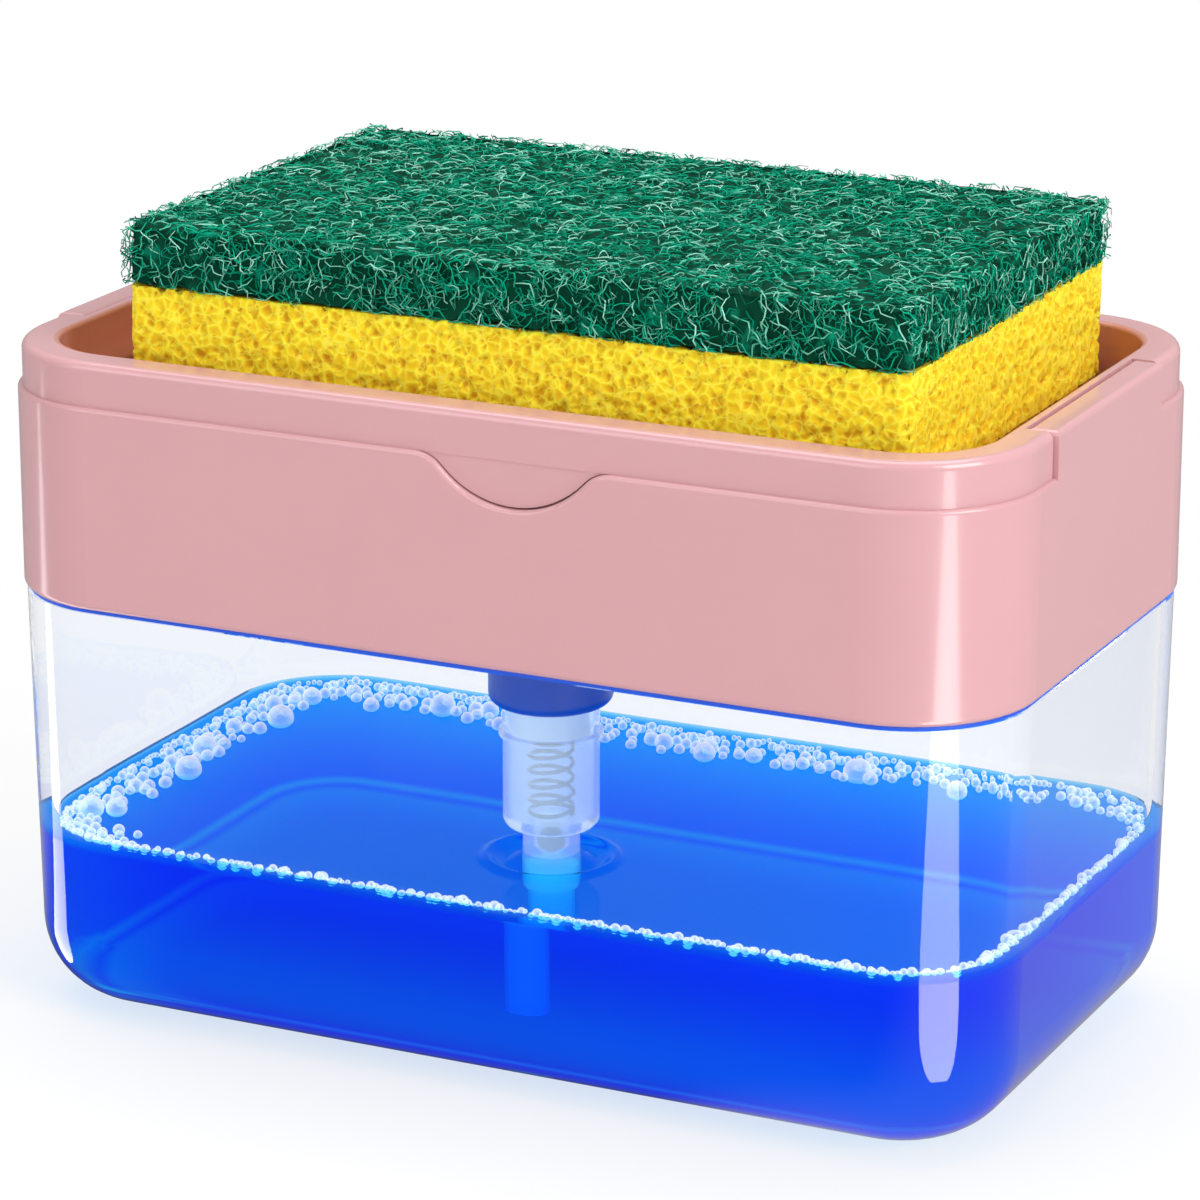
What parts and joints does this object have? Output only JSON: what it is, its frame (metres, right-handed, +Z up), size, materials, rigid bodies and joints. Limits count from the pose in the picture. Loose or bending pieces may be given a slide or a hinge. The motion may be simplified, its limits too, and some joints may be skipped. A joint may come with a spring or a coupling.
{
  "type": "soap pump caddy",
  "caption": "Counter-top soap pump caddy: clear soap tank under a pink housing with a sprung press plate, lift-off rim frame and a scouring sponge on top.",
  "frame": {"origin": "on the table, under the middle of the body's outline", "axes": "+X along the body's length, +Y to the back, away from the finger notch, +Z up"},
  "size_m": [0.15, 0.088, 0.1145],
  "materials": {
    "clear_plastic": "clear moulded polystyrene",
    "pink_plastic": "glossy moulded pink ABS",
    "frosted_plastic": "translucent moulded polypropylene",
    "blue_plastic": "glossy moulded blue polypropylene",
    "white_plastic": "moulded white polyethylene",
    "seal_rubber": "soft blue silicone",
    "stainless_steel": "drawn stainless wire and polished ball",
    "yellow_foam": "open-cell polyurethane foam",
    "green_fibre": "non-woven nylon scouring fibre"
  },
  "bodies": {
    "tank": {"tank": "clear_plastic", "seal_ring": "seal_rubber"},
    "housing": {"housing": "pink_plastic", "pump_collar": "blue_plastic", "pump_gasket": "seal_rubber", "pump_cylinder": "frosted_plastic", "stem_guide": "white_plastic", "dip_tube": "frosted_plastic", "return_spring": "stainless_steel"},
    "top_frame": {"top_frame": "pink_plastic"},
    "plunger": {"press_plate": "pink_plastic", "outlet_nozzle": "white_plastic", "pump_stem": "white_plastic", "piston_rod": "white_plastic", "piston": "white_plastic"},
    "inlet_ball": {"inlet_ball": "stainless_steel"},
    "sponge": {"sponge_foam": "yellow_foam", "scouring_pad": "green_fibre"}
  },
  "joints": [
    {"name": "housing_lift", "type": "slide", "parent": "tank", "child": "housing", "axis": [0, 0, 1], "range_m": [0, 0.07]},
    {"name": "frame_lift", "type": "slide", "parent": "housing", "child": "top_frame", "axis": [0, 0, 1], "range_m": [0, 0.042]},
    {"name": "pump_press", "type": "slide", "parent": "housing", "child": "plunger", "axis": [0, 0, -1], "range_m": [0, 0.006], "stiffness_N_per_m": 500, "springref_m": -0.005, "deforming": ["return_spring"]},
    {"name": "inlet_valve", "type": "slide", "parent": "housing", "child": "inlet_ball", "axis": [0, 0, 1], "range_m": [0, 0.001]},
    {"name": "sponge_lift", "type": "slide", "parent": "plunger", "child": "sponge", "axis": [0, 0, 1], "range_m": [0, 0.03]}
  ]
}
